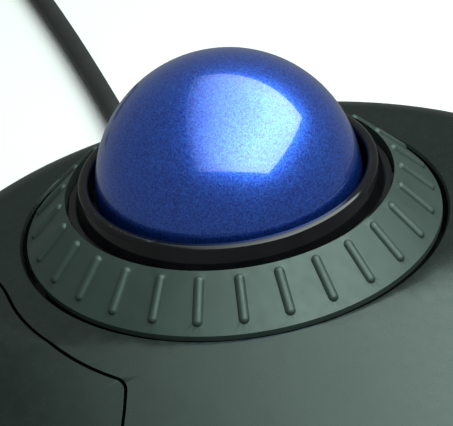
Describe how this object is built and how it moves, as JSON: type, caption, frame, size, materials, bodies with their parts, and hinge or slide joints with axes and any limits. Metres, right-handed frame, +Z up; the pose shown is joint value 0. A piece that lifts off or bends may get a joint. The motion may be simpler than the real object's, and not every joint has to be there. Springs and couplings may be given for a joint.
{
  "type": "trackball pointing device",
  "caption": "Corded desk trackball: a ball in a glossy collar, a ribbed scroll ring round it, wing buttons and a sloping hand rest.",
  "frame": {"origin": "on the desk, under the middle of the body's footprint, cord left out", "axes": "+Z up; +Y towards the back, where the cord leaves; -Y the front, where the hand rests"},
  "size_m": [0.1548, 0.3689, 0.057],
  "materials": {
    "body_grey": "fine grained dark grey-green moulded plastic",
    "button_grey": "fine grained dark grey-green moulded plastic",
    "base_grey": "dark moulded plastic",
    "ring_grey": "soft-touch satin grey",
    "carrier_plastic": "smooth dark plastic",
    "collar_black": "polished black",
    "cup_plastic": "dark plastic",
    "ball_blue": "pearlescent blue, polished, very fine metallic grain",
    "bearing_ceramic": "polished",
    "spring_steel": "spring steel",
    "screw_steel": "zinc plated",
    "board_green": "solder mask",
    "chip_black": "moulded epoxy",
    "lens_clear": "clear moulded lens",
    "lamp_clear": "tinted lamp",
    "switch_black": "moulded nylon",
    "plunger_red": "moulded nylon",
    "connector_white": "moulded nylon",
    "foot_rubber": "soft rubber",
    "cord_black": "smooth satin cord jacket",
    "tie_black": "plastic-coated wire",
    "plug_steel": "nickel-plated sheet",
    "plug_tongue_white": "moulded plastic",
    "contact_gold": "gold-plated"
  },
  "bodies": {
    "housing": {"base_shell": "base_grey", "top_cover": "body_grey", "ball_cup": "cup_plastic", "ball_collar": "collar_black", "support_bearings": "bearing_ceramic", "ring_clip": "spring_steel", "main_board": "board_green", "sensor_lens": "lens_clear", "sensor_chip": "chip_black", "sensor_lamp": "lamp_clear", "ring_encoder": "chip_black", "board_chip": "chip_black", "board_connector": "connector_white", "left_switch_body": "switch_black", "right_switch_body": "switch_black", "case_screws": "screw_steel", "board_screws": "screw_steel", "cup_screws": "screw_steel", "feet": "foot_rubber", "strain_relief": "cord_black", "cord": "cord_black", "cord_coil": "cord_black", "coil_tie": "tie_black", "cord_tail": "cord_black", "plug_grip": "cord_black", "plug_shell": "plug_steel", "plug_tongue": "plug_tongue_white", "plug_contacts": "contact_gold"},
    "ball": {"ball": "ball_blue"},
    "scroll_ring": {"ring_grip": "ring_grey", "ring_carrier": "carrier_plastic"},
    "left_button": {"left_button": "button_grey"},
    "right_button": {"right_button": "button_grey"},
    "left_plunger": {"left_switch_plunger": "plunger_red"},
    "right_plunger": {"right_switch_plunger": "plunger_red"}
  },
  "joints": [
    {"name": "ring_turn", "type": "hinge", "parent": "housing", "child": "scroll_ring", "pos_m": [0, 0.027, 0.03], "axis": [0, 0, 1], "continuous": true},
    {"name": "ball_roll", "type": "hinge", "parent": "housing", "child": "ball", "pos_m": [0, 0.027, 0.037], "axis": [1, 0, 0], "continuous": true},
    {"name": "left_press", "type": "slide", "parent": "housing", "child": "left_button", "axis": [0, 0, -1], "range_m": [0, 0.0006], "stiffness_N_per_m": 1000, "springref_m": -0.0006},
    {"name": "right_press", "type": "slide", "parent": "housing", "child": "right_button", "axis": [0, 0, -1], "range_m": [0, 0.0006], "stiffness_N_per_m": 1000, "springref_m": -0.0006},
    {"name": "left_plunge", "type": "slide", "parent": "housing", "child": "left_plunger", "axis": [0, 0, -1], "range_m": [0, 0.0006]},
    {"name": "right_plunge", "type": "slide", "parent": "housing", "child": "right_plunger", "axis": [0, 0, -1], "range_m": [0, 0.0006]}
  ],
  "couplings": [
    {"joint": "left_plunge", "follows": "left_press", "ratio": 1},
    {"joint": "right_plunge", "follows": "right_press", "ratio": 1}
  ]
}
